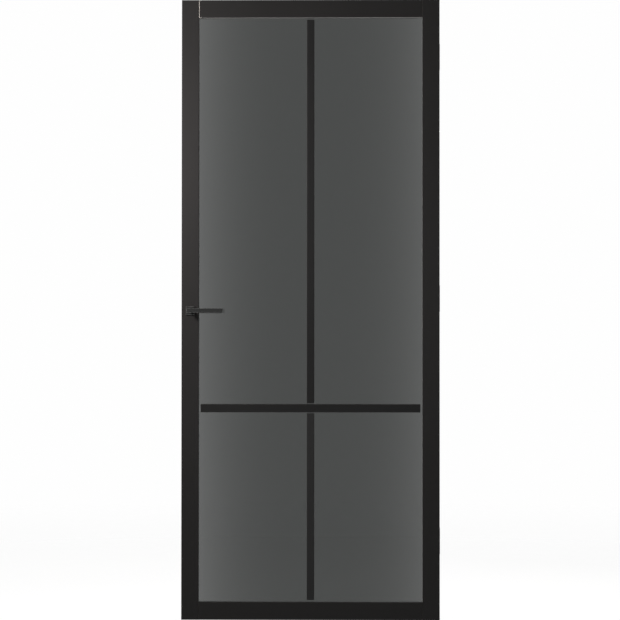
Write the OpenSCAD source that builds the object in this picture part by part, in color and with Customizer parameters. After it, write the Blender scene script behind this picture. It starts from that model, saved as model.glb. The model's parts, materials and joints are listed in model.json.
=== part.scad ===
// Hinged glass interior door: a slim black stile-and-rail leaf around one pane of smoked glass,
// with stuck-on glazing bars on both faces, a pair of lever handles on a narrow-case latch,
// and three butt hinges. The jamb and the wall are not part of it.
//
// Frame: X to the right along the leaf, Y from the front face to the back face, Z up.
// The origin is the centre of the leaf's bottom edge.

/* [Leaf] */
// Width of the leaf
leaf_w = 880; // [700:1:1100]
// Height of the leaf
leaf_h = 2115; // [1750:1:2600]
// Thickness of the leaf
leaf_t = 40; // [38:1:60]
// Face width of each stile
stile_w = 58.5; // [56:0.5:90]
// Face height of the top and bottom rails
rail_h = 61; // [45:0.5:150]
// Chamfer on the long edges of the timber
arris = 0.8; // [0.4:0.1:1]
// Chamfer on the ends of the rails, which leaves a fine open line at each shoulder
shoulder = 1.8; // [1.1:0.1:2]

/* [Glazing] */
// Thickness of the glass
glass_t = 6; // [4:0.5:10]
// Depth of the fixed lip in front of the glass
lip_d = 15; // [10:0.5:18]
// Width of the rebate that holds the glass
rebate_w = 12; // [9:0.5:14]
// Space between the edge of the glass and the rebate
glass_gap = 3; // [2:0.5:4]
// Thickness of the glazing tape on each face of the glass
tape_t = 2; // [1:0.5:3]
// Width of the glazing tape
tape_w = 7; // [5:0.5:8]
// Length of each setting block under the glass
block_l = 60; // [30:1:90]
// How far the sight edge of a back bead lies behind the edge of the front lip, away from the glass
bead_set_back = 2.5; // [0:0.5:3]

/* [Glazing bars] */
// Face width of the upright bars
bar_w = 25; // [15:1:40]
// Face height of the cross bar
cross_bar_w = 28; // [15:1:40]
// How far the face of a bar lies behind the face of the leaf
bar_recess = 2; // [1:0.5:5]
// Thickness of the bonding tape under a bar
bond_t = 1; // [0.5:0.5:2]
// Width of the bonding tape under a bar
bond_w = 19; // [10:1:24]
// Height of the centre of the cross bar above the bottom of the leaf
cross_z = 720; // [400:1:1400]
// Gap between the end of a bar and the frame
bar_gap = 7; // [2:0.5:10]
// Gap between an upright bar and the cross bar
cross_gap = 3.4; // [1:0.1:6]

/* [Joinery] */
// Diameter of the dowels in the corners
dowel_d = 10; // [6:1:14]
// Length of a dowel
dowel_l = 76; // [40:1:80]
// Diameter of the pins that hold the glazing beads
bead_pin_d = 1.4; // [1:0.1:2]
// Distance of the outer bead pins from the corners
bead_pin_inset = 90; // [60:5:150]
// Number of pins in a long bead
long_bead_pins = 6; // [3:1:10]
// Number of pins in a short bead
short_bead_pins = 3; // [2:1:6]

/* [Handle] */
// Height of the spindle above the bottom of the leaf
lever_z = 1053; // [900:1:1200]
// Distance from the lock edge to the spindle
backset = 30; // [28:0.5:32]
// Width and height of a rose
rose_w = 29; // [28:1:40]
// How far a rose stands out from the leaf
rose_t = 8; // [7:0.5:12]
// Reach of the front lever from the spindle to its end
lever_reach = 112; // [90:1:140]
// Reach of the back lever, short enough to stay hidden behind the front one
back_lever_reach = 102; // [90:1:140]
// How far the lever runs past the spindle on the other side
lever_heel = 9; // [8:0.5:12]
// Height of the lever arm
lever_h = 14.5; // [14:0.5:22]
// Thickness of the lever arm
lever_t = 10; // [8:0.5:14]
// Distance from the leaf to the outer face of the lever
lever_out = 52; // [45:1:65]
// Diameter of the lever neck
neck_d = 14; // [13:0.5:16]
// Width of the square spindle
spindle_w = 8; // [7:0.5:8]

/* [Latch] */
// Length of the faceplate
faceplate_l = 175; // [160:1:235]
// Width of the faceplate
faceplate_w = 20; // [18:1:24]
// Thickness of the faceplate
faceplate_t = 3; // [2:0.5:4]
// Height of the latch case
case_h = 110; // [100:1:130]
// Thickness of the latch case
case_t = 14; // [13:0.5:16]
// Wall of the latch case
case_wall = 1.5; // [1:0.1:2]
// Height of the latch bolt
bolt_h = 16; // [14:1:20]
// Travel of the latch bolt
bolt_travel = 10; // [8:1:12]

/* [Hinges] */
// Height of a hinge
hinge_h = 89; // [76:1:102]
// Width of a hinge plate, from the back face of the leaf inwards
hinge_plate_w = 30; // [24:1:34]
// Thickness of a hinge plate
hinge_plate_t = 2; // [1.5:0.1:3]
// Outer diameter of the hinge knuckle
knuckle_d = 10; // [9:0.5:13]
// Diameter of the hinge pin
pin_d = 5; // [4:0.5:6]
// Gap between the two closed plates of a hinge
plate_gap = 1; // [0.6:0.1:3]
// How far the closed hinges stand out past the leaf's edge, which lets both their plates in
hinge_stand_out = 1; // [0.5:0.5:2]
// Distance from the top of the leaf to the top hinge
hinge_top_inset = 150; // [100:1:250]
// Distance from the bottom of the leaf to the bottom hinge
hinge_bottom_inset = 225; // [100:1:300]
// Spacing of the screw holes across a hinge plate
hinge_holes_y = 12; // [10:1:14]
// Spacing of the screw holes along a jamb-side hinge plate
jamb_holes_z = 60; // [50:1:62]
// Spacing of the screw holes along a leaf-side plate, staggered so that closed screw heads don't meet
leaf_holes_z = 44; // [34:1:46]

/* [Hidden] */

$fn = 48;
cut = 1;             // how far a cutting shape runs past the face that it cuts
slip = 0.05;         // radial clearance of a shaft, dowel, pin or screw in its hole
fit = 0.2;           // clearance of a flat piece in its recess

// Leaf
front_y = -leaf_t / 2;
back_y = leaf_t / 2;
edge_x = leaf_w / 2;
open_x = edge_x - stile_w;
open_w = 2 * open_x;
open_top = leaf_h - rail_h;
rebate_x = open_x + rebate_w;
rebate_bottom = rail_h - rebate_w;
rebate_top = open_top + rebate_w;
lip_y = front_y + lip_d;
glass_y = lip_y + tape_t;
glass_back_y = glass_y + glass_t;
bead_y = glass_back_y + tape_t;
glass_x = rebate_x - glass_gap;
glass_bottom = rebate_bottom + glass_gap;
glass_top = rebate_top - glass_gap;

// Bars
bar_front_y = front_y + bar_recess;
bar_back_y = back_y - bar_recess;
bar_front_t = glass_y - bond_t - bar_front_y;
bar_back_t = bar_back_y - glass_back_y - bond_t;
bar_end_inset = 4;   // how far the bonding tape stops short of the end of a bar
bar_edge = 1;        // chamfer on the long edges of a bar
upper_bar_bottom = cross_z + cross_bar_w / 2 + cross_gap;
upper_bar_l = open_top - bar_gap - upper_bar_bottom;
lower_bar_bottom = rail_h + bar_gap;
lower_bar_l = cross_z - cross_bar_w / 2 - cross_gap - lower_bar_bottom;
cross_bar_l = open_w - 2 * bar_gap;

// Corner dowels, two in each corner, in the full-thickness part of the rail
dowel_z = [rebate_bottom * 0.28, rebate_bottom * 0.76];
dowel_end_gap = 1;

// Bead pins
bead_pin_l = rebate_w - bead_set_back + 9;
bead_pin_sink = 1;
mitre_gap = 0.15;
bead_x = rebate_x - fit;
sight_x = open_x + bead_set_back;
sight_top = open_top + bead_set_back;
sight_bottom = rail_h - bead_set_back;
bead_bottom = rebate_bottom + fit;
bead_top = rebate_top - fit;
bead_pin_y = (bead_y + back_y) / 2;

// Handle
spindle_x = -edge_x + backset;
lever_y = leaf_t / 2 + lever_out - lever_t;
neck_start = leaf_t / 2 + 1;
socket_w = spindle_w + 2 * slip;
spindle_end = lever_y - 4;
rose_wall = 1.2;
rose_base_w = rose_w - 2 * rose_wall - 2 * fit;
rose_base_t = 4;
rose_bevel = 1;
bush_d = neck_d + 7;
bush_flange_d = bush_d + 2;
bush_flange_t = 1;
bush_l = rose_t - rose_wall - fit;
rose_screw_offset = rose_base_w / 2 - 3.2;
rose_screw_places = [[-1, -1], [1, 1]] * rose_screw_offset;
rose_screw_d = 3;
rose_screw_head_d = 4.8;
rose_screw_l = 13;
lever_edge = 1;
grub_d = 4;
grub_y = leaf_t / 2 + rose_t + 5;
grub_socket_d = 2;

// Latch
faceplate_x = -edge_x;
case_x = -edge_x + faceplate_t;
case_clear = 0.5;
case_back_gap = 3;
case_d = stile_w - rebate_w - faceplate_t - case_back_gap;
case_back_x = case_x + case_d;
case_in_y = case_t / 2 - case_wall;
follower_d = 18;
follower_t = 5;
journal_d = 15;
arm_r = 13;
arm_w = 5;
bolt_clear = 0.2;
bolt_t = 2 * case_in_y - 2 * bolt_clear;
bolt_held_l = 10;      // what stays in the case and the faceplate when the bolt is out
bolt_l = bolt_travel + bolt_held_l;
bolt_z = lever_z + 28;
tail_t = 3;
tail_h = 4;
tail_l = 17;
hook_w = 3;
hook_bottom = lever_z + arm_r + 2;
lug_t = 2;
lug_w = 6;
lug_bottom = lever_z + 12;
spring_z = lever_z + 15.5;
spring_gap = 0.1;
bolt_spring_r = 2.2;
bolt_spring_wire_r = 0.3;
magnet_d = 7;
magnet_l = 8;
return_spring_wire_r = 0.4;
return_spring_r = journal_d / 2 + return_spring_wire_r + 0.35;
return_spring_turns = 2;
return_spring_pitch = 0.9;
post_d = 6;
post_screw_d = 3;
post_head_d = 5;
post_inset = 6;
case_posts = [[case_back_x - post_inset, lever_z - case_h / 2 + post_inset],
    [case_x + post_inset, lever_z - case_h / 2 + post_inset],
    [case_back_x - post_inset, lever_z + case_h / 2 - post_inset]];
faceplate_screw_z = faceplate_l / 2 - 12;
wood_screw_d = 4;
wood_screw_head_d = 7;
faceplate_screw_l = 30;
hinge_screw_l = 34;
cross_slot_w = 1;
cross_slot_l = 4.4;
cross_slot_d = 1.2;

// Hinges
jamb_plate_x = edge_x + hinge_stand_out - hinge_plate_t;
leaf_plate_x = jamb_plate_x - plate_gap - hinge_plate_t;
plate_clear = 0.5;     // round the jamb-side plate, which swings out of the leaf's recess
pin_x = edge_x + hinge_stand_out - knuckle_d / 2;
knuckle_clear = 0.5;
pin_y = back_y + knuckle_d / 2 + knuckle_clear;
knuckles = 5;
knuckle_joint = 0.2;
knuckle_l = hinge_h / knuckles;
pin_head_d = knuckle_d - 1;
pin_head_t = 2.5;
pin_tail = 1.5;
hinge_hole_ys = [-1, 1] * hinge_holes_y / 2 + [1, 1] * (back_y - hinge_plate_w / 2);
jamb_hole_zs = [-1, 1] * jamb_holes_z / 2;
leaf_hole_zs = [-1, 1] * leaf_holes_z / 2;
top_hinge_z = leaf_h - hinge_top_inset - hinge_h / 2;
bottom_hinge_z = hinge_bottom_inset + hinge_h / 2;
middle_hinge_z = (top_hinge_z + bottom_hinge_z) / 2;
hinge_zs = [bottom_hinge_z, middle_hinge_z, top_hinge_z];

TIMBER = [0.11, 0.105, 0.1];
SMOKED = [0.24, 0.26, 0.26, 0.7];
SOFT = [0.06, 0.06, 0.06];
BLACK_METAL = [0.13, 0.13, 0.13];
STEEL = [0.62, 0.62, 0.64];
NYLON = [0.85, 0.84, 0.8];
BEECH = [0.76, 0.6, 0.42];

// A rectangle with its four corners cut off by a chamfer
module eased(w, h, e)
    polygon([[e, 0], [w - e, 0], [w, e], [w, h - e], [w - e, h], [e, h], [0, h - e], [0, e]]);

// A bar along X from x, with its section in Y and Z and its long edges chamfered
module bar_along_x(x, y, z, l, t, h, e)
    translate([x, y, z]) rotate([90, 0, 90]) linear_extrude(l) eased(t, h, e);

// A bar along Z from z, with its section in X and Y and its long edges chamfered
module bar_along_z(x, y, z, l, w, t, e)
    translate([x, y, z]) linear_extrude(l) eased(w, t, e);

// Cylinders along X and Y that start at p
module rod_x(p, d, l)
    translate(p) rotate([0, 90, 0]) cylinder(d = d, h = l);
module rod_y(p, d, l)
    translate(p) rotate([-90, 0, 0]) cylinder(d = d, h = l);

// A square bar that takes a chamfer of e off an upright edge
module upright_chamfer(x, y, z, l, e)
    translate([x, y, z + l / 2]) rotate(45) cube([e * sqrt(2), e * sqrt(2), l], center = true);

// A countersunk screw along +X whose head is flush with x, or, with play, the hole for it
module screw_x(p, d, head_d, l, play = 0) {
    head_l = (head_d - d) / 2;
    translate(p) rotate([0, 90, 0]) difference() {
        union() {
            cylinder(d1 = head_d + 2 * play, d2 = d + 2 * play, h = head_l);
            cylinder(d = d + 2 * play, h = l + play);
        }
        if (play == 0)
            for (a = [0, 90])
                rotate(a) translate([-cross_slot_l / 2, -cross_slot_w / 2, -cut])
                    cube([cross_slot_l, cross_slot_w, cross_slot_d + cut]);
    }
}

// The same along +Y
module screw_y(p, d, head_d, l, play = 0) {
    head_l = (head_d - d) / 2;
    translate(p) rotate([-90, 0, 0]) difference() {
        union() {
            cylinder(d1 = head_d + 2 * play, d2 = d + 2 * play, h = head_l);
            cylinder(d = d + 2 * play, h = l + play);
        }
        if (play == 0)
            for (a = [0, 90])
                rotate(a) translate([-head_d * 0.3, -cross_slot_w / 4, -cut])
                    cube([head_d * 0.6, cross_slot_w / 2, head_l / 2 + cut]);
    }
}

// A helical wire along Z: rings of points swept round, closed at both ends
module coil(r, wire_r, pitch, turns, sides = 8, steps = 16) {
    n = round(turns * steps);
    points = [for (i = [0 : n], k = [0 : sides - 1])
        let (a = 360 * i / steps, b = 360 * k / sides, q = r + wire_r * cos(b))
        [q * cos(a), q * sin(a), pitch * i / steps + wire_r * sin(b)]];
    walls = [for (i = [0 : n - 1], k = [0 : sides - 1])
        let (m = (k + 1) % sides)
        [i * sides + k, i * sides + m, (i + 1) * sides + m, (i + 1) * sides + k]];
    first = [for (k = [sides - 1 : -1 : 0]) k];
    last = [for (k = [0 : sides - 1]) n * sides + k];
    polyhedron(points, concat(walls, [first, last]));
}

// n values spread evenly from a to b
function spread(a, b, n) = [for (i = [0 : n - 1]) a + (b - a) * i / (n - 1)];

// ---- Leaf frame

// Holes for the dowels of every corner, in both stiles and both rails
module dowel_holes()
    dowels(dowel_l + 2 * dowel_end_gap, dowel_d + 2 * slip);

module dowels(l, d)
    for (side = [-1, 1], z = [for (d_z = dowel_z) each [d_z, leaf_h - d_z]])
        rod_x([side * open_x - l / 2, 0, z], d, l);

// One stile with its inner edge at open_x, rebated at the back between the rails
module stile()
    difference() {
        bar_along_z(open_x, front_y, 0, leaf_h, stile_w, leaf_t, arris);
        translate([open_x - cut, lip_y, rebate_bottom])
            cube([rebate_w + cut, leaf_t, rebate_top - rebate_bottom]);
        dowel_holes();
        bead_pin_holes();
    }

module rail(z, rebate_z)
    difference() {
        bar_along_x(-open_x, front_y, z, open_w, leaf_t, rail_h, arris);
        translate([-open_x - cut, lip_y, rebate_z])
            cube([open_w + 2 * cut, leaf_t, rebate_w + cut]);
        for (x = [-open_x, open_x], y = [front_y, back_y])
            upright_chamfer(x, y, z - cut, rail_h + 2 * cut, shoulder);
        dowel_holes();
        bead_pin_holes();
    }

module lock_stile() color(TIMBER)
    difference() {
        mirror([1, 0, 0]) stile();
        translate([-edge_x - cut, -faceplate_w / 2 - fit / 2, lever_z - faceplate_l / 2 - fit / 2])
            cube([faceplate_t + cut, faceplate_w + fit, faceplate_l + fit]);
        translate([-edge_x, -case_t / 2 - case_clear, lever_z - case_h / 2 - case_clear])
            cube([faceplate_t + case_d + case_clear, case_t + 2 * case_clear, case_h + 2 * case_clear]);
        rod_y([spindle_x, front_y - cut, lever_z], journal_d + 2, leaf_t + 2 * cut);
        faceplate_screw_shapes(slip);
        rose_screw_shapes(slip);
        mirror([0, 1, 0]) rose_screw_shapes(slip);
    }

// Room for a hinge plate from a depth in X outwards, open at the edge and the back face of the leaf
module plate_recess(z, from_x, clear)
    translate([from_x, back_y - hinge_plate_w - clear, z - hinge_h / 2 - clear])
        cube([edge_x - from_x + cut, hinge_plate_w + clear + cut, hinge_h + 2 * clear]);

module hinge_stile() color(TIMBER)
    difference() {
        stile();
        for (z = hinge_zs) {
            plate_recess(z, leaf_plate_x, fit);
            plate_recess(z, leaf_plate_x + hinge_plate_t, plate_clear);
        }
        hinge_screw_shapes(slip);
    }

module top_rail() color(TIMBER) rail(open_top, open_top - cut);
module bottom_rail() color(TIMBER) rail(0, rebate_bottom);
module corner_dowels() color(BEECH) dowels(dowel_l, dowel_d);

// ---- Glazing

module glass_pane() color(SMOKED)
    translate([-glass_x, glass_y, glass_bottom])
        cube([2 * glass_x, glass_t, glass_top - glass_bottom]);

module setting_blocks() color(SOFT)
    for (side = [-1, 1])
        translate([side * glass_x / 2 - block_l / 2, glass_y, rebate_bottom])
            cube([block_l, glass_t, glass_gap]);

// Four strips round the opening, on the cover of the rebate
module tape_ring(y) {
    inset = glass_x - tape_w;
    for (side = [-1, 1])
        translate([side * (inset + tape_w / 2) - tape_w / 2, y, glass_bottom])
            cube([tape_w, tape_t, glass_top - glass_bottom]);
    for (z = [glass_bottom, glass_top - tape_w])
        translate([-inset + fit, y, z]) cube([2 * (inset - fit), tape_t, tape_w]);
}

module front_glazing_tape() color(SOFT) tape_ring(lip_y);
module back_glazing_tape() color(SOFT) tape_ring(glass_back_y);

// A bead along one side of the rebate: its mitred outline in X and Z, as deep as the rebate leaves
module bead(outline) color(TIMBER)
    difference() {
        translate([0, back_y, 0]) rotate([90, 0, 0]) linear_extrude(back_y - bead_y) polygon(outline);
        bead_pin_holes();
    }

module bottom_bead()
    bead([[-bead_x + mitre_gap, bead_bottom], [bead_x - mitre_gap, bead_bottom],
        [sight_x - mitre_gap, sight_bottom], [-sight_x + mitre_gap, sight_bottom]]);

module top_bead()
    bead([[-bead_x + mitre_gap, bead_top], [-sight_x + mitre_gap, sight_top],
        [sight_x - mitre_gap, sight_top], [bead_x - mitre_gap, bead_top]]);

module side_bead(side)
    bead([[side * bead_x, bead_bottom], [side * bead_x, bead_top],
        [side * sight_x, sight_top], [side * sight_x, sight_bottom]]);

module lock_side_bead() side_bead(-1);
module hinge_side_bead() side_bead(1);

// Pins of length l from the sight face of each bead out through it into the frame
module bead_pin_shapes(start, l, d) {
    for (side = [-1, 1], z = spread(rail_h + bead_pin_inset, open_top - bead_pin_inset, long_bead_pins))
        translate([side * sight_x, bead_pin_y, z]) rotate([0, side * 90, 0])
            translate([0, 0, start]) cylinder(d = d, h = l);
    for (x = spread(-open_x + bead_pin_inset, open_x - bead_pin_inset, short_bead_pins)) {
        translate([x, bead_pin_y, sight_top + start]) cylinder(d = d, h = l);
        translate([x, bead_pin_y, sight_bottom - start - l]) cylinder(d = d, h = l);
    }
}

module bead_pin_holes() bead_pin_shapes(-cut, bead_pin_l + bead_pin_sink + 2 * cut, bead_pin_d + 2 * slip);
module bead_pins() color(STEEL) bead_pin_shapes(bead_pin_sink, bead_pin_l, bead_pin_d);

// ---- Glazing bars, bonded to the glass

module cross_bar(y, t)
    color(TIMBER) bar_along_x(-cross_bar_l / 2, y, cross_z - cross_bar_w / 2, cross_bar_l, t, cross_bar_w,
        bar_edge);

module upright_bar(y, t, z, l)
    color(TIMBER) bar_along_z(-bar_w / 2, y, z, l, bar_w, t, bar_edge);

module front_cross_bar() cross_bar(bar_front_y, bar_front_t);
module front_upper_bar() upright_bar(bar_front_y, bar_front_t, upper_bar_bottom, upper_bar_l);
module front_lower_bar() upright_bar(bar_front_y, bar_front_t, lower_bar_bottom, lower_bar_l);
module back_cross_bar() cross_bar(glass_back_y + bond_t, bar_back_t);
module back_upper_bar() upright_bar(glass_back_y + bond_t, bar_back_t, upper_bar_bottom, upper_bar_l);
module back_lower_bar() upright_bar(glass_back_y + bond_t, bar_back_t, lower_bar_bottom, lower_bar_l);

// The strips of bonding tape under the three bars of one face
module bar_tapes(y) color(SOFT) {
    half = cross_bar_l / 2 - bar_end_inset;
    translate([-half, y, cross_z - bond_w / 2]) cube([2 * half, bond_t, bond_w]);
    translate([-bond_w / 2, y, upper_bar_bottom + bar_end_inset])
        cube([bond_w, bond_t, upper_bar_l - 2 * bar_end_inset]);
    translate([-bond_w / 2, y, lower_bar_bottom + bar_end_inset])
        cube([bond_w, bond_t, lower_bar_l - 2 * bar_end_inset]);
}

module front_bar_tapes() bar_tapes(glass_y - bond_t);
module back_bar_tapes() bar_tapes(glass_back_y);

// ---- Latch in the lock stile

// Places a shape whose X and Y lie in the leaf's X and Z, to be extruded from y towards +Y
module upright_plate(y, t)
    translate([0, y + t, 0]) rotate([90, 0, 0]) linear_extrude(t) children();

module case_outline(inset)
    translate([case_x + inset, lever_z - case_h / 2 + inset])
        square([case_d - 2 * inset, case_h - 2 * inset]);

module bolt_window(x, t)
    translate([x - cut, -bolt_t / 2 - bolt_clear, bolt_z - bolt_h / 2 - bolt_clear])
        cube([t + 2 * cut, bolt_t + 2 * bolt_clear, bolt_h + 2 * bolt_clear]);

// The deep half of the case: a floor, four walls and the posts that the cover screws into
module latch_case() color(STEEL)
    difference() {
        union() {
            upright_plate(-case_t / 2, case_wall) case_outline(0);
            upright_plate(-case_t / 2, case_t - case_wall) difference() {
                case_outline(0);
                case_outline(case_wall);
            }
            for (p = case_posts)
                rod_y([p[0], -case_t / 2, p[1]], post_d, case_t - case_wall);
        }
        rod_y([spindle_x, -case_t, lever_z], journal_d + 2 * slip, 2 * case_t);
        for (p = case_posts)
            rod_y([p[0], 0, p[1]], post_screw_d + 2 * slip, case_t);
        bolt_window(case_x, case_wall);
    }

module latch_cover() color(STEEL)
    difference() {
        upright_plate(case_in_y, case_wall) case_outline(0);
        rod_y([spindle_x, 0, lever_z], journal_d + 2 * slip, case_t);
        cover_screw_shapes(slip);
    }

module cover_screw_shapes(play = 0)
    for (p = case_posts)
        mirror([0, 1, 0]) screw_y([p[0], -case_t / 2, p[1]], post_screw_d, post_head_d,
            case_t / 2 - case_wall, play);

module cover_screws() color(STEEL) cover_screw_shapes();

module faceplate_screw_shapes(play = 0)
    for (s = [-1, 1])
        screw_x([faceplate_x, 0, lever_z + s * faceplate_screw_z], wood_screw_d, wood_screw_head_d,
            faceplate_screw_l, play);

module faceplate() color(BLACK_METAL)
    difference() {
        translate([faceplate_x, -faceplate_w / 2, lever_z - faceplate_l / 2])
            cube([faceplate_t, faceplate_w, faceplate_l]);
        bolt_window(faceplate_x, faceplate_t);
        faceplate_screw_shapes(slip);
    }

module faceplate_screws() color(BLACK_METAL) faceplate_screw_shapes();

// Head with a pocket for its magnet, a lug for the spring, and a tail that hooks down over the follower
module latch_bolt() color(STEEL)
    difference() {
        union() {
            translate([faceplate_x, -bolt_t / 2, bolt_z - bolt_h / 2]) cube([bolt_l, bolt_t, bolt_h]);
            translate([faceplate_x + bolt_l - lug_t, -lug_w / 2, lug_bottom])
                cube([lug_t, lug_w, bolt_z - lug_bottom]);
            translate([faceplate_x + bolt_l - cut, -tail_t / 2, bolt_z - tail_h / 2])
                cube([tail_l + cut, tail_t, tail_h]);
            translate([faceplate_x + bolt_l + tail_l - hook_w, -tail_t / 2, hook_bottom])
                cube([hook_w, tail_t, bolt_z - hook_bottom]);
        }
        rod_x([faceplate_x - cut, 0, bolt_z], magnet_d + 2 * slip, magnet_l + cut);
    }

module bolt_magnet() color(STEEL) rod_x([faceplate_x, 0, bolt_z], magnet_d, magnet_l - slip);

// Light spring from the front wall of the case to the lug of the bolt
module bolt_spring() color(STEEL) {
    start = case_x + case_wall + spring_gap + bolt_spring_wire_r;
    end = faceplate_x + bolt_l - lug_t - spring_gap - bolt_spring_wire_r;
    turns = 5;
    translate([start, 0, spring_z]) rotate([0, 90, 0])
        coil(bolt_spring_r, bolt_spring_wire_r, (end - start) / turns, turns);
}

// Disc with an arm between two journals, on the square spindle
module follower() color(STEEL)
    difference() {
        union() {
            rod_y([spindle_x, -follower_t / 2, lever_z], follower_d, follower_t);
            rod_y([spindle_x, -case_t / 2, lever_z], journal_d, case_t);
            translate([spindle_x - arm_w / 2, -follower_t / 2, lever_z]) cube([arm_w, follower_t, arm_r]);
        }
        spindle_hole(case_t + 2 * cut);
    }

// Sprung coil round one journal, which brings the levers back level
module return_spring() color(STEEL) {
    end_y = -follower_t / 2 - return_spring_wire_r - spring_gap;
    translate([spindle_x, end_y, lever_z]) rotate([90, 0, 0])
        coil(return_spring_r, return_spring_wire_r, return_spring_pitch, return_spring_turns);
}

// ---- Levers and roses, made for the front face and mirrored to the back

module square_bar(w, l)
    translate([spindle_x, 0, lever_z]) cube([w, l, w], center = true);

module spindle_hole(l) square_bar(socket_w, l);
module spindle() color(STEEL) square_bar(spindle_w, 2 * spindle_end);

module rose_screw_shapes(play = 0)
    for (p = rose_screw_places)
        screw_y([spindle_x + p[0], front_y - rose_base_t, lever_z + p[1]],
            rose_screw_d, rose_screw_head_d, rose_screw_l, play);

module rose_base() color(STEEL)
    difference() {
        translate([spindle_x, front_y - rose_base_t / 2, lever_z])
            cube([rose_base_w, rose_base_t, rose_base_w], center = true);
        rod_y([spindle_x, front_y - rose_t, lever_z], bush_d + 2 * slip, 2 * rose_t);
        rose_screw_shapes(slip);
    }

// Square cap over the base, with a chamfer round its face
module rose_cover() color(BLACK_METAL)
    difference() {
        hull() {
            translate([spindle_x, front_y - (rose_t - rose_bevel) / 2, lever_z])
                cube([rose_w, rose_t - rose_bevel, rose_w], center = true);
            translate([spindle_x, front_y - rose_t / 2, lever_z])
                cube([rose_w - 2 * rose_bevel, rose_t, rose_w - 2 * rose_bevel], center = true);
        }
        translate([spindle_x, front_y, lever_z])
            cube([rose_w - 2 * rose_wall, 2 * (rose_t - rose_wall), rose_w - 2 * rose_wall], center = true);
        rod_y([spindle_x, front_y - 2 * rose_t, lever_z], neck_d + 4 * fit, 2 * rose_t);
    }

// Nylon bearing ring for the lever neck
module rose_bush() color(NYLON)
    difference() {
        union() {
            rod_y([spindle_x, front_y - bush_l, lever_z], bush_d, bush_l);
            rod_y([spindle_x, front_y - bush_l, lever_z], bush_flange_d, bush_flange_t);
        }
        rod_y([spindle_x, front_y - rose_t, lever_z], neck_d + 2 * slip, 2 * rose_t);
    }

// Round neck and flat arm, with a square socket for the spindle and a tapped hole for the grub screw
module lever(reach) color(BLACK_METAL)
    difference() {
        union() {
            rod_y([spindle_x, -lever_y - cut, lever_z], neck_d, lever_y - neck_start + cut);
            lever_arm(reach);
        }
        spindle_hole(2 * (spindle_end + slip));
        translate([spindle_x, -grub_y, lever_z - neck_d]) cylinder(d = grub_d + 2 * slip, h = neck_d);
    }

module lever_arm(reach)
    difference() {
        bar_along_x(spindle_x - lever_heel, -lever_y - lever_t, lever_z - lever_h / 2,
            lever_heel + reach, lever_t, lever_h, lever_edge);
        for (x = [spindle_x - lever_heel, spindle_x + reach], y = [-lever_y - lever_t, -lever_y])
            upright_chamfer(x, y, lever_z - lever_h, 2 * lever_h, lever_edge);
    }

// Headless screw that grips the spindle, with a hexagonal socket
module grub_screw() color(STEEL)
    translate([spindle_x, -grub_y, lever_z - neck_d / 2 + fit]) difference() {
        cylinder(d = grub_d, h = neck_d / 2 - spindle_w / 2 - fit - slip);
        translate([0, 0, -cut]) cylinder(d = grub_socket_d, h = cut + grub_d / 3, $fn = 6);
    }

module to_back() mirror([0, 1, 0]) children();

module front_rose_base() rose_base();
module front_rose_cover() rose_cover();
module front_rose_bush() rose_bush();
module front_rose_screws() color(STEEL) rose_screw_shapes();
module back_rose_base() to_back() rose_base();
module back_rose_cover() to_back() rose_cover();
module back_rose_bush() to_back() rose_bush();
module back_rose_screws() color(STEEL) to_back() rose_screw_shapes();
module front_lever() lever(lever_reach);
module front_grub_screw() grub_screw();
module back_lever() to_back() lever(back_lever_reach);
module back_grub_screw() to_back() grub_screw();

// ---- Hinges: both plates lie in the leaf's edge, and their knuckles stand behind its back face

// The knuckles with the given numbers, counted from the bottom, with the web to the plate
module knuckle_set(numbers, plate_x)
    for (i = numbers)
        translate([0, 0, -hinge_h / 2 + i * knuckle_l + knuckle_joint / 2]) {
            translate([pin_x, pin_y, 0]) cylinder(d = knuckle_d, h = knuckle_l - knuckle_joint);
            translate([plate_x, back_y - cut, 0])
                cube([hinge_plate_t, pin_y - back_y + cut, knuckle_l - knuckle_joint]);
        }

// A plate from plate_x outwards, with its screw heads in the face at head_x; side is -1 for inward screws
module hinge_plate(plate_x, head_x, side, numbers, hole_zs) color(BLACK_METAL)
    difference() {
        union() {
            translate([plate_x, back_y - hinge_plate_w, -hinge_h / 2])
                cube([hinge_plate_t, hinge_plate_w, hinge_h]);
            knuckle_set(numbers, plate_x);
        }
        translate([pin_x, pin_y, -hinge_h]) cylinder(d = pin_d + 2 * slip, h = 2 * hinge_h);
        for (y = hinge_hole_ys, z = hole_zs)
            translate([head_x, y, z]) mirror([side < 0 ? 1 : 0, 0, 0])
                screw_x([0, 0, 0], wood_screw_d, wood_screw_head_d, hinge_plate_t + cut, slip);
    }

module hinge_pin() color(BLACK_METAL)
    translate([pin_x, pin_y, 0]) {
        translate([0, 0, -hinge_h / 2 - pin_tail]) cylinder(d = pin_d, h = hinge_h + pin_tail);
        translate([0, 0, hinge_h / 2]) cylinder(d = pin_head_d, h = pin_head_t);
    }

module leaf_plate() hinge_plate(leaf_plate_x, leaf_plate_x + hinge_plate_t, -1, [1, 3], leaf_hole_zs);
module jamb_plate() hinge_plate(jamb_plate_x, jamb_plate_x, 1, [0, 2, 4], jamb_hole_zs);

module hinge_screw_shapes(play = 0)
    for (hinge_z = hinge_zs, y = hinge_hole_ys, z = leaf_hole_zs)
        mirror([1, 0, 0]) screw_x([-leaf_plate_x - hinge_plate_t, y, hinge_z + z], wood_screw_d,
            wood_screw_head_d, hinge_screw_l, play);

module at_hinge(z) translate([0, 0, z]) children();

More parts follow.
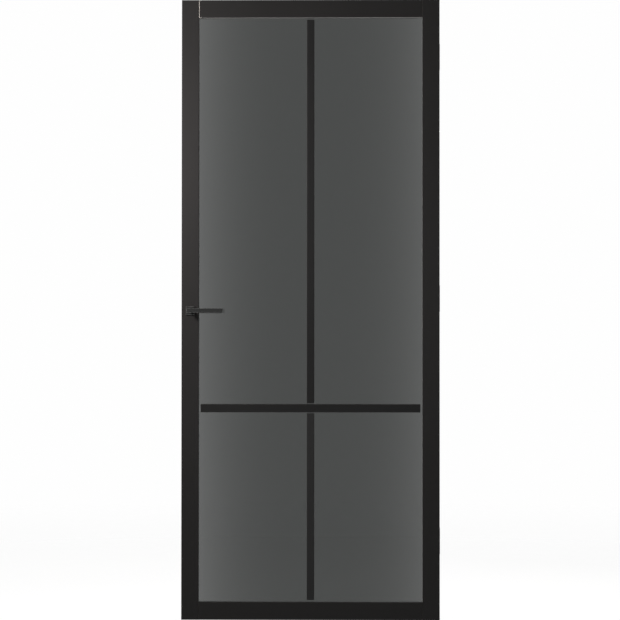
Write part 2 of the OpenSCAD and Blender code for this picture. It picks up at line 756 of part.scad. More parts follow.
module top_hinge_door_leaf() at_hinge(top_hinge_z) leaf_plate();
module top_hinge_jamb_leaf() at_hinge(top_hinge_z) jamb_plate();
module top_hinge_pin() at_hinge(top_hinge_z) hinge_pin();
module middle_hinge_door_leaf() at_hinge(middle_hinge_z) leaf_plate();
module middle_hinge_jamb_leaf() at_hinge(middle_hinge_z) jamb_plate();
module middle_hinge_pin() at_hinge(middle_hinge_z) hinge_pin();
module bottom_hinge_door_leaf() at_hinge(bottom_hinge_z) leaf_plate();
module bottom_hinge_jamb_leaf() at_hinge(bottom_hinge_z) jamb_plate();
module bottom_hinge_pin() at_hinge(bottom_hinge_z) hinge_pin();
module hinge_screws() color(BLACK_METAL) hinge_screw_shapes();

lock_stile();
hinge_stile();
top_rail();
bottom_rail();
corner_dowels();
glass_pane();
setting_blocks();
front_glazing_tape();
back_glazing_tape();
top_bead();
bottom_bead();
lock_side_bead();
hinge_side_bead();
bead_pins();
front_cross_bar();
front_upper_bar();
front_lower_bar();
back_cross_bar();
back_upper_bar();
back_lower_bar();
front_bar_tapes();
back_bar_tapes();
latch_case();
latch_cover();
cover_screws();
faceplate();
faceplate_screws();
latch_bolt();
bolt_magnet();
bolt_spring();
follower();
return_spring();
spindle();
front_rose_base();
front_rose_cover();
front_rose_bush();
front_rose_screws();
back_rose_base();
back_rose_cover();
back_rose_bush();
back_rose_screws();
front_lever();
front_grub_screw();
back_lever();
back_grub_screw();
top_hinge_door_leaf();
top_hinge_jamb_leaf();
top_hinge_pin();
middle_hinge_door_leaf();
middle_hinge_jamb_leaf();
middle_hinge_pin();
bottom_hinge_door_leaf();
bottom_hinge_jamb_leaf();
bottom_hinge_pin();
hinge_screws();
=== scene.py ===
# %% [markdown]
# # A hinged glass door with a slim black frame
#
# The door arrives as a finished set of solid pieces at their real size: stiles, rails, a pane, glazing
# bars, levers, a latch and hinges. Nothing here moves or resizes them. What is missing is how they look:
# lacquer, smoked glass, powder coat, bright steel, and a quiet studio around them. Everything is in metres:
# X along the leaf, Y from the front face to the back, Z up.

import json
import math

import bpy
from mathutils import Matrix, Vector


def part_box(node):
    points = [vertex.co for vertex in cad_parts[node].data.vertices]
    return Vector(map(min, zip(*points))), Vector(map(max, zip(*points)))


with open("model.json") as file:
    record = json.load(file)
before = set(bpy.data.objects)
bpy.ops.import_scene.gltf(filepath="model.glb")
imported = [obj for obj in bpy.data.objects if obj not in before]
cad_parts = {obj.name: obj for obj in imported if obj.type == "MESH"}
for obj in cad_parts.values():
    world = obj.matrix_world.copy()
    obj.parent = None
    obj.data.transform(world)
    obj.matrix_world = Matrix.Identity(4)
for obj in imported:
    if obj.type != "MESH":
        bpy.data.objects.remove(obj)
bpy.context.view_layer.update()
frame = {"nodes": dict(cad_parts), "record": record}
NODES = frame["nodes"]

# %% [markdown]
# ## Measuring the leaf
#
# A joiner lays a door out from its stiles and rails, and so does this lesson. The boxes of three members
# give the corners of the bare leaf, without levers and hinges, and the edges of the opening that the glass
# fills. Asking the pieces, instead of typing their sizes again, keeps the finishes in place when a size
# changes.

# %% The leaf and its opening
MM = 0.001
leaf_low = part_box("lock_stile")[0]
leaf_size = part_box("hinge_stile")[1] - leaf_low
opening_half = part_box("hinge_stile")[0].x
opening_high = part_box("top_rail")[0].z
print("leaf:", [round(v, 3) for v in leaf_size], "m; half the opening:", round(opening_half, 3), "m")

# %% [markdown]
# ## Shader maths that reads like maths
#
# Blender's node trees are sums and products of sockets. Wrapping a socket in a small class with Python's
# operators lets a line such as `0.4 + 0.1 * noise` add the Math nodes by itself. Python asks for the
# reflected form, such as `__radd__`, when a plain number stands on the left. Colours and vectors need their
# own nodes, because a Math node would turn them into a single grey number.

# %% A socket that can be added, multiplied and raised
class Value:
    def __init__(self, tree, socket):
        self.tree = tree
        self.socket = socket

    def math(self, operation, a, b):
        return self.tree.node("ShaderNodeMath", {"operation": operation}, {0: a, 1: b})[0]

    def __add__(self, other):
        return self.math("ADD", self, other)

    def __sub__(self, other):
        return self.math("SUBTRACT", self, other)

    def __rsub__(self, other):
        return self.math("SUBTRACT", other, self)

    def __mul__(self, other):
        return self.math("MULTIPLY", self, other)

    def __truediv__(self, other):
        return self.math("DIVIDE", self, other)

    def __pow__(self, other):
        return self.math("POWER", self, other)

    def __neg__(self):
        return self.math("SUBTRACT", 0.0, self)

    def __abs__(self):
        return self.math("ABSOLUTE", self, 0.0)

    def at_most(self, other):
        return self.math("MINIMUM", self, other)

    def at_least(self, other):
        return self.math("MAXIMUM", self, other)

    def above(self, limit):
        """1 where the value is greater than the limit, and 0 elsewhere."""
        return self.math("GREATER_THAN", self, limit)

    __radd__ = __add__
    __rmul__ = __mul__


print("values can be added, multiplied and raised")

# %% [markdown]
# ## A tree that makes nodes in one call
#
# Every other node is made the same way: its type, then the settings that change which sockets it has, then
# a number, a colour or a link for each socket. One method for all of them keeps each recipe below down to
# the numbers that matter.

# %% A node tree and a node's outputs
class Tree:
    def __init__(self, owner):
        owner.use_nodes = True
        self.nodes = owner.node_tree.nodes
        self.links = owner.node_tree.links
        self.nodes.clear()

    def node(self, kind, settings=None, sockets=None):
        """Adds a node: its settings first, then a value or a link for each socket. Returns its outputs."""
        made = self.nodes.new(kind)
        for key, value in (settings or {}).items():
            setattr(made, key, value)
        for key, value in (sockets or {}).items():
            if isinstance(value, Value):
                self.links.new(value.socket, made.inputs[key])
            else:
                made.inputs[key].default_value = value
        return Outputs(self, made)

    def mix_colors(self, factor, a, b):
        """Fades colour a into colour b. A Mix node takes colours at 6 and 7, and gives one at 2."""
        return self.node("ShaderNodeMix", {"data_type": "RGBA"}, {0: factor, 6: a, 7: b})[2]


class Outputs:
    def __init__(self, tree, node):
        self.tree = tree
        self.node = node

    def __getitem__(self, key):
        return Value(self.tree, self.node.outputs[key])


print("node helpers ready")

# %% [markdown]
# ## Patterns in real millimetres
#
# Each piece keeps its place in its mesh, so Object coordinates are metres on the real door. A noise is then
# stretched by scaling those coordinates: few waves along the grain, many across it. That keeps a pattern
# the same size on a long stile and on a short bar, which a pattern fitted to each piece would not.

# %% Noise with its own number of waves along each axis
def object_space(tree):
    return tree.node("ShaderNodeTexCoord")["Object"]


def even(waves):
    return (waves, waves, waves)


def stretched_noise(tree, waves_per_metre, detail=3.0):
    """Noise from 0 to 1 with its own number of waves per metre along X, Y and Z."""
    scaled = tree.node(
        "ShaderNodeVectorMath",
        {"operation": "MULTIPLY"},
        {0: object_space(tree), 1: waves_per_metre},
    )[0]
    return tree.node(
        "ShaderNodeTexNoise",
        None,
        {"Vector": scaled, "Scale": 1.0, "Detail": detail, "Roughness": 0.55},
    )[0]


print("noise ready")

# %% [markdown]
# ## Which way a face looks
#
# The members are square timber with their long edges, the arrises, taken off by a narrow chamfer. The
# finish is different there: smoother, and paler where a highlight is painted on. The true normal of a face
# tells the two apart without any painting by hand: on a broad face one part of it is nearly 1, and on a
# chamfer none is.

# %% Masks from the true normal
BROAD = 0.95


def facing(tree):
    """How squarely a face looks along X, Y and Z, each from 0 to 1, taken from the flat face itself."""
    normal = tree.node("ShaderNodeNewGeometry")["True Normal"]
    turned = tree.node("ShaderNodeVectorMath", {"operation": "ABSOLUTE"}, {0: normal})[0]
    split = tree.node("ShaderNodeSeparateXYZ", None, {0: turned})
    return split["X"], split["Y"], split["Z"]


def arris_mask(tree):
    """1 on the narrow chamfers along the edges of a square member, and 0 on its broad faces."""
    along_x, along_y, along_z = facing(tree)
    return 1.0 - along_x.at_least(along_y).at_least(along_z).above(BROAD)


print("arris mask ready")

# %% [markdown]
# ## Relief and the shader itself
#
# Every finish on the door is one Principled shader. What differs is which of its sockets change over the
# surface, so a finish is a list of sockets, and a socket that changes is a function that adds its nodes.
# Fine relief is bump instead of geometry: an orange-peel ripple is a few hundredths of a millimetre deep
# and never shows in an outline.

# %% A bump and a Principled material
def bumped(tree, height, depth):
    """A Bump node: height from 0 to 1 stands for that many metres of relief."""
    made = tree.node("ShaderNodeBump", None, {"Strength": 1.0, "Distance": depth, "Height": height})
    return made["Normal"]


def principled(name, sockets, display):
    """A material with one Principled shader. A socket may hold a function that adds nodes to its tree."""
    material = bpy.data.materials.new(name)
    tree = Tree(material)
    made = {key: value(tree) if callable(value) else value for key, value in sockets.items()}
    shader = tree.node("ShaderNodeBsdfPrincipled", None, made)
    tree.node("ShaderNodeOutputMaterial", None, {"Surface": shader["BSDF"]})
    material.diffuse_color = display
    return material


print("materials can be made")

# %% [markdown]
# ## Black satin lacquer on timber
#
# The frame, the beads and the bars are sprayed with the same black. Up close the film has the faint ripple
# of a sprayed coat, and the grain under it shows as long shallow lines. A real door has one grain direction
# in each member, so the same recipe is made once for upright pieces and once for level ones. The chamfers
# are smoother, and paler in patches: that paleness is a painted highlight along the edges. A flat grey
# would be simpler, but it looks like plastic as soon as a lamp slides along it.

# %% Colours and waves of the lacquer
LACQUER_DARK = (0.0135, 0.0130, 0.0127, 1.0)
LACQUER_LIGHT = (0.0208, 0.0200, 0.0195, 1.0)
BAR_DARK = (0.0095, 0.0095, 0.0095, 1.0)       # the bars are a little darker than the frame
BAR_LIGHT = (0.0145, 0.0145, 0.0145, 1.0)
LOW_BAR_DARK = (0.0185, 0.0185, 0.0185, 1.0)   # the short lower bars are paler: painted light against the key lamp's fall-off
LOW_BAR_LIGHT = (0.0265, 0.0265, 0.0265, 1.0)
# A painted highlight on the chamfers, laid on in patches.
EDGE_HIGHLIGHT = (0.040, 0.038, 0.036, 1.0)
# Painted light on two narrow faces of the opening, grey as if lit.
SIDE_LIGHT_GREY = (0.360, 0.354, 0.343, 1.0)
# A painted highlight in the top rail's left joint.
JOINT_HIGHLIGHT = (0.60, 0.57, 0.53, 1.0)

GRAIN_ACROSS = 420.0     # waves per metre across the grain
GRAIN_ALONG = 9.0        # waves per metre along it
RIPPLE = even(260.0)
PATCHES = (3.5, 3.5, 2.0)
# Waves of the patches of painted highlight on the chamfers.
EDGE_HIGHLIGHT_PATCHES = (30.0, 30.0, 12.0)

TONE_BY_GRAIN = 0.35     # how far the grain takes the film from its darkest to its lightest
TONE_BY_PATCH = 0.5
EDGE_HIGHLIGHT_CONTRAST = 2.0
EDGE_HIGHLIGHT_GAPS = 0.4     # taken off, so that stretches of each edge carry no painted highlight
SATIN = 0.36             # roughness of the smoothest film
DULLER_BY_PATCH = 0.10
DULLER_BY_GRAIN = 0.05
ARRIS_POLISH = 0.12      # how much smoother the rubbed edges are
RIPPLE_SHARE = 0.55      # of the relief; the grain makes the rest
LACQUER_RELIEF = 0.06 * MM
print("grain:", round(1000 / GRAIN_ACROSS, 1), "mm across,", round(1000 / GRAIN_ALONG), "mm along")

# %% [markdown]
# ## Two narrow faces with painted light
#
# Two of the narrow faces round the glass, the one under the top rail and the one on the hinge stile, are
# grey instead of black: painted light, as if lit from the left and from below. They belong to the same
# solid as the black faces. So the painted light is told apart by place and direction: a face near the edge
# of the opening that looks left or down.

# %% The sides of the opening with painted light
REACH = 20 * MM          # how far behind the opening's edge such a face may lie
SQUARE_ON = 0.9


def painted_lit_sides(tree):
    """1 on the two sides of the glazed opening that look left and down and carry painted light, and 0
    elsewhere.
    """
    place = tree.node("ShaderNodeSeparateXYZ", None, {0: object_space(tree)})
    normal = tree.node("ShaderNodeNewGeometry")["True Normal"]
    split = tree.node("ShaderNodeSeparateXYZ", None, {0: normal})
    looks_left = place["X"].above(opening_half - REACH) * (-split["X"]).above(SQUARE_ON)
    looks_down = place["Z"].above(opening_high - REACH) * (-split["Z"]).above(SQUARE_ON)
    return looks_left + looks_down


# Those two sides carry painted light, grey instead of black.
print("thin sides marked")

# %% [markdown]
# ## A highlight painted in a joint
#
# Where a rail meets a stile, the two are butted and glued, and the chamfer makes a fine groove along the
# joint. At the left end of the top rail that groove catches the light, and a pale line is painted on its
# chamfer as a painted highlight. Only the finish of that one chamfer is changed.

# %% The painted joint highlight
JOINT_REACH = 10 * MM    # how far along the rail from its left end


def painted_joint_highlight(tree):
    """1 on the chamfer at the left end of the top rail, where a highlight is painted into the joint."""
    place = tree.node("ShaderNodeSeparateXYZ", None, {0: object_space(tree)})
    at_left = 1.0 - place["X"].above(JOINT_REACH - opening_half)
    return at_left * place["Z"].above(opening_high) * arris_mask(tree)


# The pale line in that joint is a painted highlight.
print("open joint marked")

# %% [markdown]
# ## Mixing the lacquer
#
# The colour goes from the darkest to the lightest film by grain and by cloudy patches. Then painted light on
# two sides of the opening, a painted highlight on the chamfers and, on the top rail, a painted highlight in
# its joint are laid over it. The gloss changes with the same patches, so that a lamp's reflection breaks up.
# A weak clear coat over a duller base gives satin its two highlights, one broad and one narrow.

# %% The lacquer recipe
def lacquer(name, grain_axis, darkest=LACQUER_DARK, lightest=LACQUER_LIGHT, with_joint_highlight=False):
    waves = tuple(GRAIN_ALONG if axis == grain_axis else GRAIN_ACROSS for axis in "XYZ")

    def color(tree):
        grain = stretched_noise(tree, waves)
        patches = stretched_noise(tree, PATCHES)
        film = tree.mix_colors(TONE_BY_GRAIN * grain + TONE_BY_PATCH * patches, darkest, lightest)
        # Painted light: the two sides of the opening that look left and down turn grey.
        lit_sides = tree.mix_colors(painted_lit_sides(tree), film, SIDE_LIGHT_GREY)
        # The paler chamfers are a painted highlight, broken into patches.
        chamfer_highlight = EDGE_HIGHLIGHT_CONTRAST * stretched_noise(tree, EDGE_HIGHLIGHT_PATCHES) - EDGE_HIGHLIGHT_GAPS
        chamfer_highlight = chamfer_highlight.at_least(0.0).at_most(1.0)
        edged = tree.mix_colors(arris_mask(tree) * chamfer_highlight, lit_sides, EDGE_HIGHLIGHT)
        # A painted highlight in the joint at the left end of the top rail.
        return tree.mix_colors(painted_joint_highlight(tree), edged, JOINT_HIGHLIGHT) if with_joint_highlight else edged

    def roughness(tree):
        patches = DULLER_BY_PATCH * stretched_noise(tree, PATCHES)
        grain = DULLER_BY_GRAIN * stretched_noise(tree, waves)
        return SATIN + (patches + grain) - ARRIS_POLISH * arris_mask(tree)

    def normal(tree):
        ripple = RIPPLE_SHARE * stretched_noise(tree, RIPPLE, detail=1.0)
        grain = (1.0 - RIPPLE_SHARE) * stretched_noise(tree, waves)
        return bumped(tree, ripple + grain, LACQUER_RELIEF)

    return principled(
        name,
        {
            "Base Color": color,
            "Roughness": roughness,
            "Normal": normal,
            "Specular IOR Level": 0.22,
            "Coat Weight": 0.09,
            "Coat Roughness": 0.22,
        },
        LACQUER_LIGHT,
    )


lacquer_upright = lacquer("lacquer_upright", "Z")
lacquer_level = lacquer("lacquer_level", "X")
lacquer_top_rail = lacquer("lacquer_top_rail", "X", with_joint_highlight=True)
bar_upright = lacquer("bar_upright", "Z", BAR_DARK, BAR_LIGHT)
# The lower bars are paler: painted light where the key lamp falls off towards the foot.
bar_low = lacquer("bar_low", "Z", LOW_BAR_DARK, LOW_BAR_LIGHT)
bar_level = lacquer("bar_level", "X", BAR_DARK, BAR_LIGHT)
# On the top rail the pale joint line is a painted highlight.
print("lacquer made: upright, level, level with an open joint, and three for the bars")

# %% [markdown]
# ## Smoked glass
#
# Body-tinted glass lets through about a fourteenth of the light and keeps its colour nearly neutral, a touch
# green. Its two faces reflect like any clear glass. So the tint goes in the transmission colour, and the
# gloss stays that of plain glass. Float glass is never perfectly flat, so a very long, very shallow wave
# makes its reflections swim a little.

# %% The glass recipe
GLASS_TINT = (0.0735, 0.0765, 0.0750, 1.0)
GLASS_SWELL = (2.6, 2.6, 1.4)
GLASS_RELIEF = 0.05 * MM


def smoked_glass():
    def normal(tree):
        return bumped(tree, stretched_noise(tree, GLASS_SWELL, detail=0.0), GLASS_RELIEF)

    return principled(
        "smoked_glass",
        {
            "Base Color": GLASS_TINT,
            "Roughness": 0.0,
            "IOR": 1.52,
            "Transmission Weight": 1.0,
            "Normal": normal,
        },
        GLASS_TINT,
    )


glass = smoked_glass()
print("smoked glass made")

# %% [markdown]
# ## Powder-coated metal
#
# The levers, the rose covers, the faceplate and the hinges are matt black powder coat. Powder melts into a
# film with tiny pits, closer together than the ripple of the lacquer, and it has almost no colour. Its outer
# edges are painted grey in patches, a painted highlight. Those edges are the chamfers turned half towards
# the front or the back, so they are found from the Y part of the true normal alone.

# %% Powder coat
POWDER_DARK = (0.0078, 0.0091, 0.0089, 1.0)
POWDER_LIGHT = (0.0124, 0.0144, 0.0141, 1.0)
# A painted highlight on the outer edges of the powder coat.
POWDER_EDGE_HIGHLIGHT = (0.100, 0.100, 0.098, 1.0)
POWDER_CLOUDS = even(40.0)
POWDER_HIGHLIGHT_PATCHES = even(60.0)
POWDER_GLOSS = even(90.0)
POWDER_PITS = even(1500.0)
POWDER_RELIEF = 0.03 * MM
HALF_OUT = 0.3           # the least a face may be turned to the front or the back and carry the painted highlight
POWDER_HIGHLIGHT_CONTRAST = 1.6
MATT = 0.40              # roughness of the smoothest spots
MATT_SPREAD = 0.14


def powder_coat():
    def color(tree):
        film = tree.mix_colors(stretched_noise(tree, POWDER_CLOUDS), POWDER_DARK, POWDER_LIGHT)
        along_y = facing(tree)[1]
        # Painted highlight along the outer edges, in patches.
        edge = along_y.above(HALF_OUT) * (1.0 - along_y.above(BROAD))
        powder_highlight = (POWDER_HIGHLIGHT_CONTRAST * stretched_noise(tree, POWDER_HIGHLIGHT_PATCHES)).at_most(1.0)
        return tree.mix_colors(edge * powder_highlight, film, POWDER_EDGE_HIGHLIGHT)

    def roughness(tree):
        return MATT + MATT_SPREAD * stretched_noise(tree, POWDER_GLOSS)

    def normal(tree):
        return bumped(tree, stretched_noise(tree, POWDER_PITS, detail=1.0), POWDER_RELIEF)

    return principled(
        "powder_coat",
        {"Base Color": color, "Roughness": roughness, "Normal": normal, "Specular IOR Level": 0.34},
        POWDER_LIGHT,
    )


powder = powder_coat()
print("powder coat made")

# %% [markdown]
# ## The parts that hardly show
#
# Screws, springs and the latch are bright steel, the magnet is nickel-plated, the lever rings are nylon, the
# dowels are raw beech, and the tapes and blocks are black rubber. They are mostly hidden in the leaf, but an
# open latch or a lifted cover shows them, so they are finished too. Small parts need no recipe each: a
# colour between two tones, a gloss that wanders with it and a little relief will do for all of them.

# %% One recipe for small parts
def small_finish(name, dark, light, waves, smoothest, dullest, relief, metallic=0.0):
    def color(tree):
        return tree.mix_colors(stretched_noise(tree, waves), dark, light)

    def roughness(tree):
        return smoothest + (dullest - smoothest) * stretched_noise(tree, waves)

    def normal(tree):
        return bumped(tree, stretched_noise(tree, waves), relief)

    sockets = {"Base Color": color, "Metallic": metallic, "Roughness": roughness, "Normal": normal}
    return principled(name, sockets, light)


print("recipe for small parts ready")

# %% [markdown]
# ## Five small finishes
#
# Plated metals are fully metallic and differ by colour and gloss: nickel is warmer and brighter than steel.
# The steel has fine upright lines, as brushed plate has, and the beech has its grain along the dowel, which
# lies level. Nylon and rubber have no grain, only a moulded skin, so their waves are the same all ways.

# %% Steel, nickel, nylon, beech and rubber
steel = small_finish(
    "steel",
    dark=(0.46, 0.46, 0.48, 1.0),
    light=(0.66, 0.66, 0.68, 1.0),
    waves=(900.0, 900.0, 30.0),
    smoothest=0.24,
    dullest=0.42,
    relief=0.01 * MM,
    metallic=1.0,
)
nickel = small_finish(
    "nickel",
    dark=(0.58, 0.56, 0.52, 1.0),
    light=(0.70, 0.68, 0.64, 1.0),
    waves=even(60.0),
    smoothest=0.12,
    dullest=0.24,
    relief=0.01 * MM,
    metallic=1.0,
)
nylon = small_finish(
    "nylon",
    dark=(0.70, 0.68, 0.63, 1.0),
    light=(0.80, 0.79, 0.75, 1.0),
    waves=even(200.0),
    smoothest=0.37,
    dullest=0.53,
    relief=0.02 * MM,
)
beech = small_finish(
    "beech",
    dark=(0.36, 0.22, 0.12, 1.0),
    light=(0.56, 0.38, 0.23, 1.0),
    waves=(25.0, 700.0, 700.0),
    smoothest=0.54,
    dullest=0.70,
    relief=0.06 * MM,
)
rubber = small_finish(
    "rubber",
    dark=(0.012, 0.012, 0.012, 1.0),
    light=(0.03, 0.03, 0.03, 1.0),
    waves=even(500.0),
    smoothest=0.67,
    dullest=0.83,
    relief=0.05 * MM,
)
print("small finishes made: steel, nickel, nylon, beech and rubber")

# %% [markdown]
# ## Giving every piece its finish
#
# In a workshop each part waits on the rack of its own finish, and the record keeps the same list: it says
# which slot each piece belongs to. Only the lacquer has to be told apart further. Pieces that are longer
# along X have level grain and the others upright grain, the top rail has a painted highlight in its joint,
# the bars are a little darker, and the short lower bars are paler, as painted light against the key's
# fall-off.

# %% Assign the finishes
FINISH = {
    "smoked_glass": glass,
    "black_metal": powder,
    "steel": steel,
    "nickel": nickel,
    "nylon": nylon,
    "beech": beech,
    "black_rubber": rubber,
}
SLOT = {part["node"]: part["material_slot"] for part in frame["record"]["subparts"]}


def finish_for(node):
    slot = SLOT[node]
    if slot != "black_lacquer":
        return FINISH[slot]
    if node == "top_rail":
        return lacquer_top_rail
    # The short lower bars get the paler lacquer, painted light against the key lamp's fall-off.
    if node.endswith("_lower_bar"):
        return bar_low
    low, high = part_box(node)
    level = high.x - low.x > high.z - low.z
    if node.endswith("_bar"):
        return bar_level if level else bar_upright
    return lacquer_level if level else lacquer_upright


for node, piece in NODES.items():
    piece.data.materials.clear()
    piece.data.materials.append(finish_for(node))
print(len(NODES), "pieces finished")

# %% [markdown]
# ## Softer edges
#
# A cut edge is never quite sharp. A bevel of a third of a millimetre, with its normals weighted towards the
# broad faces, gives each edge the thin line of light that tells the eye how big a piece is. It could be
# modelled into every solid, but as a modifier it is one rule for all of them and leaves their sizes alone.
# The weld first joins the points that meet at an edge, since a bevel needs one shared edge to work on. The
# small screws, springs and pins keep their own shape.

# %% Bevel the pieces that show
EDGE = 0.35 * MM
EDGE_STEPS = 2
SHARPER_THAN = math.radians(40)
SAME_POINT = 0.001 * MM
SMALL = ("screw", "pin", "spring", "magnet", "dowel", "tape", "block", "pane")


def soften(piece):
    weld = piece.modifiers.new("weld", "WELD")
    weld.merge_threshold = SAME_POINT
    bevel = piece.modifiers.new("bevel", "BEVEL")
    bevel.width = EDGE
    bevel.segments = EDGE_STEPS
    bevel.limit_method = "ANGLE"
    bevel.angle_limit = SHARPER_THAN
    weighted = piece.modifiers.new("normals", "WEIGHTED_NORMAL")
    weighted.keep_sharp = True


softened = [node for node in NODES if not any(word in node for word in SMALL)]
for node in softened:
    soften(NODES[node])
print(len(softened), "pieces bevelled")

# %% [markdown]
# ## The studio
#
# A glass door is shown against white, with dark cloth around the camera so that its glass stays dark, and
# with a tall strip of light on each side of the camera. A strip fades towards the lens, so the glass is
# darkest in the middle and lightens towards its edges. Pale walls far to the sides light the narrow edges
# of the leaf, and the ground throws some light up under the top rail. Cards and cloths could be built for
# all of this, but each would have to be kept out of sight and clear of the lamps. Painting it on the world
# by direction, the same in front and behind, takes a few lines. What the camera sees directly, or through
# the glass, is plain white.

# %% The world
STRIP_CENTRE = -0.0185      # where the glass is darkest, as sideways over forwards
STRIP_PEAK = 0.0516         # how far to each side of that a strip is brightest
STRIP_LIGHT = 1.5
STRIP_RISE = 3.4            # how late a strip brightens on its way out to the peak
STRIP_FADE = 0.04           # how wide its outer, fading side is
CLOTH = 0.030
LEFT_WALL = 1.2
RIGHT_WALL = 0.25
WALL_FOCUS = 3.0            # the higher a focus, the narrower its patch of light
CEILING = 0.2
CEILING_FOCUS = 2.0
GROUND = 3.4
GROUND_FOCUS = 8.0
WHITE = 0.992


def paint_world():
    world = bpy.data.worlds.new("studio")
    bpy.context.scene.world = world
    tree = Tree(world)
    direction = tree.node("ShaderNodeTexCoord")["Generated"]
    split = tree.node("ShaderNodeSeparateXYZ", None, {0: direction})
    x, y, z = split["X"], split["Y"], split["Z"]
    aside = abs(x / abs(y) - STRIP_CENTRE)
    inner = STRIP_LIGHT * (aside / STRIP_PEAK).at_most(1.0) ** STRIP_RISE
    outer = (1.0 - (aside - STRIP_PEAK) / STRIP_FADE).at_most(1.0).at_least(0.0)
    left = LEFT_WALL * (-x).at_least(0.0) ** WALL_FOCUS
    right = RIGHT_WALL * x.at_least(0.0) ** WALL_FOCUS
    above = CEILING * z.at_least(0.0) ** CEILING_FOCUS
    below = GROUND * (-z).at_least(0.0) ** GROUND_FOCUS
    surround = CLOTH + left + right + above + below + inner * outer
    path = tree.node("ShaderNodeLightPath")
    seen = path["Is Camera Ray"].at_least(path["Is Transmission Ray"])
    light = seen * WHITE + (1.0 - seen) * surround
    background = tree.node("ShaderNodeBackground", None, {"Color": (1, 1, 1, 1), "Strength": light})
    tree.node("ShaderNodeOutputWorld", None, {"Surface": background["Background"]})


paint_world()
print("world painted")

# %% [markdown]
# ## The floor
#
# The floor is a pale disc that thins out towards its rim, so it melts into the white around it and only a
# soft shadow is left at the foot of the door. A lit floor alone would darken away from the lamps, so most
# of its brightness is a glow of its own, and the lamps add the rest. It is hidden from reflections and
# from bounced light, which keeps the glass and the undersides of the rails to the studio's own light.

# %% A disc that fades at its rim
FLOOR_RADIUS = 6.0
FLOOR_SIDES = 96
FLOOR_RIM = 0.6 * FLOOR_RADIUS      # the width over which the disc thins out
FLOOR_DARK = (0.095, 0.095, 0.094, 1.0)
FLOOR_LIGHT = (0.105, 0.105, 0.104, 1.0)
FLOOR_CLOUDS = even(1.2)
FLOOR_GLOW = 0.92


def floor_mesh():
    corners = [2 * math.pi * i / FLOOR_SIDES for i in range(FLOOR_SIDES)]
    ring = [(FLOOR_RADIUS * math.cos(a), FLOOR_RADIUS * math.sin(a), leaf_low.z) for a in corners]
    mesh = bpy.data.meshes.new("floor")
    mesh.from_pydata(ring, [], [list(range(FLOOR_SIDES))])
    return mesh


def floor_finish():
    def tone(tree):
        return tree.mix_colors(stretched_noise(tree, FLOOR_CLOUDS), FLOOR_DARK, FLOOR_LIGHT)

    def solid(tree):
        from_middle = tree.node("ShaderNodeVectorMath", {"operation": "LENGTH"}, {0: object_space(tree)})[1]
        return ((FLOOR_RADIUS - from_middle) / FLOOR_RIM).at_most(1.0)

    return principled(
        "pale_floor",
        {
            "Base Color": tone,
            "Alpha": solid,
            "Roughness": 0.8,
            "Specular IOR Level": 0.1,
            "Emission Color": (1.0, 1.0, 1.0, 1.0),
            "Emission Strength": FLOOR_GLOW,
        },
        (0.9, 0.9, 0.9, 1.0),
    )


floor = bpy.data.objects.new("floor", floor_mesh())
bpy.context.scene.collection.objects.link(floor)
floor.data.materials.append(floor_finish())
floor.visible_glossy = False
floor.visible_diffuse = False
print("floor made,", 2 * FLOOR_RADIUS, "m across")

# %% [markdown]
# ## Soft panels and flags
#
# A studio lamp is a panel of light on a stand, aimed at one part of the door. A square area lamp is the
# same thing: the nearer and larger it is, the softer its shadows. Its square shape would show in the
# glass, so in a studio a flag, a small black card, is set between the lamp and the pane. Here light
# linking does the flag's work, and the lamp simply skips that one piece. Each lamp in front has a twin
# behind, turned half round, so that the back of the door is lit as well as its front.

# %% A lamp, its flag, and a pair of lamps
def soft_panel(name, place, aim, side, watts, color=(1.0, 1.0, 1.0), glossy=False):
    """A square lamp at a place, turned to face a point. The camera never sees the lamp itself."""
    data = bpy.data.lights.new(name, "AREA")
    data.shape = "SQUARE"
    data.size = side
    data.energy = watts
    data.color = color
    lamp = bpy.data.objects.new(name, data)
    lamp.location = place
    lamp.rotation_euler = (Vector(aim) - Vector(place)).to_track_quat("-Z", "Y").to_euler()
    lamp.visible_camera = False
    lamp.visible_transmission = False
    lamp.visible_glossy = glossy
    bpy.context.scene.collection.objects.link(lamp)
    return lamp


def flag(lamp, pane):
    """Keeps a lamp off one piece, as a black card between them would."""
    skipped = bpy.data.collections.new(lamp.name + "_skips")
    skipped.objects.link(pane)
    lamp.light_linking.receiver_collection = skipped
    skipped.collection_objects[0].light_linking.link_state = "EXCLUDE"


def lamp_pair(name, place, aim, side, watts, colors, glossy):
    """The same lamp in front of the leaf and, half a turn round, behind it. Neither lights the glass."""
    for prefix, turned, color in (("", 1, colors[0]), ("rear_", -1, colors[1])):
        stand = (turned * place[0], turned * place[1], place[2])
        target = (turned * aim[0], turned * aim[1], aim[2])
        flag(soft_panel(prefix + name, stand, target, side, watts, color, glossy), NODES["glass_pane"])


print("lamps can be hung")

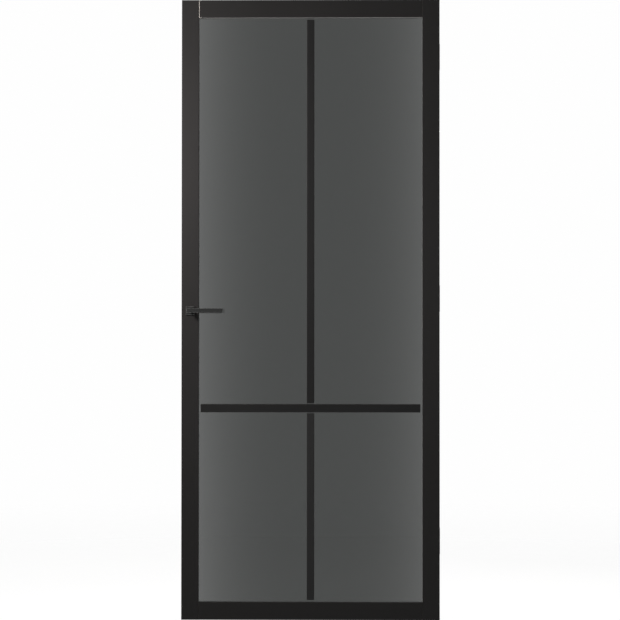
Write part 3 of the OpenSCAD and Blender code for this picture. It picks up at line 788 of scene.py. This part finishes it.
# %% [markdown]
# ## Hanging the lamps
#
# The key, the main lamp, is a small panel on the left, under two metres off and a little lower than the top
# of the leaf. It is close enough that the left stile is clearly lighter than the right one and the top
# lighter than the foot, and small enough that the lever throws a clear shadow down and to the right. The
# fill is a larger, weaker panel at mid-height on the right. A broad panel far above gives the level edges
# and the floor an even light.

# %% Hang the lamps
PLAIN = (1.0, 1.0, 1.0)
WARM = (1.0, 0.942, 0.926)
REAR_WARM = (1.0, 0.960, 0.940)

lamp_pair(
    "key",
    place=(-1.2, -1.35, 1.75),
    aim=(-0.25, 0.0, 1.25),
    side=0.24,
    watts=28.4,
    colors=(WARM, REAR_WARM),
    glossy=True,
)
lamp_pair(
    "fill",
    place=(0.45, -1.35, 1.05),
    aim=(0.35, 0.0, 1.05),
    side=0.5,
    watts=2.2,
    colors=(PLAIN, PLAIN),
    glossy=False,
)
soft_panel("top", place=(0.0, 0.0, 4.0), aim=(0.0, 0.0, 1.0), side=2.4, watts=16.0)

# %% [markdown]
# ## The camera
#
# It stands eight metres off with a long lens, so hardly anything behind the front face peeps out. It is a
# little right of the middle, as high as a chest, and turned slightly left and upwards, so the leaf fills
# the height of the view. The Standard view transform keeps the white of the studio white, where a film-like
# one would grey it.

# %% Place the camera
CAMERA_DISTANCE = 8.0
CAMERA_RIGHT = 0.1705
CAMERA_HEIGHT = 0.9330
CAMERA_TURN = 0.02149    # to the left, in radians
CAMERA_TILT = 0.01528    # upwards
CAMERA_ROLL = -0.00053
LENS = 136.33            # millimetres, on the usual 36 mm wide sensor


def place_camera():
    data = bpy.data.cameras.new("camera")
    data.lens = LENS
    camera = bpy.data.objects.new("camera", data)
    camera.location = (CAMERA_RIGHT, leaf_low.y - CAMERA_DISTANCE, CAMERA_HEIGHT)
    camera.rotation_euler = (math.pi / 2 + CAMERA_TILT, CAMERA_ROLL, CAMERA_TURN)
    bpy.context.scene.collection.objects.link(camera)
    bpy.context.scene.camera = camera


place_camera()
scene = bpy.context.scene
scene.view_settings.view_transform = "Standard"
scene.view_settings.look = "None"
scene.cycles.use_denoising = True
print("camera placed")
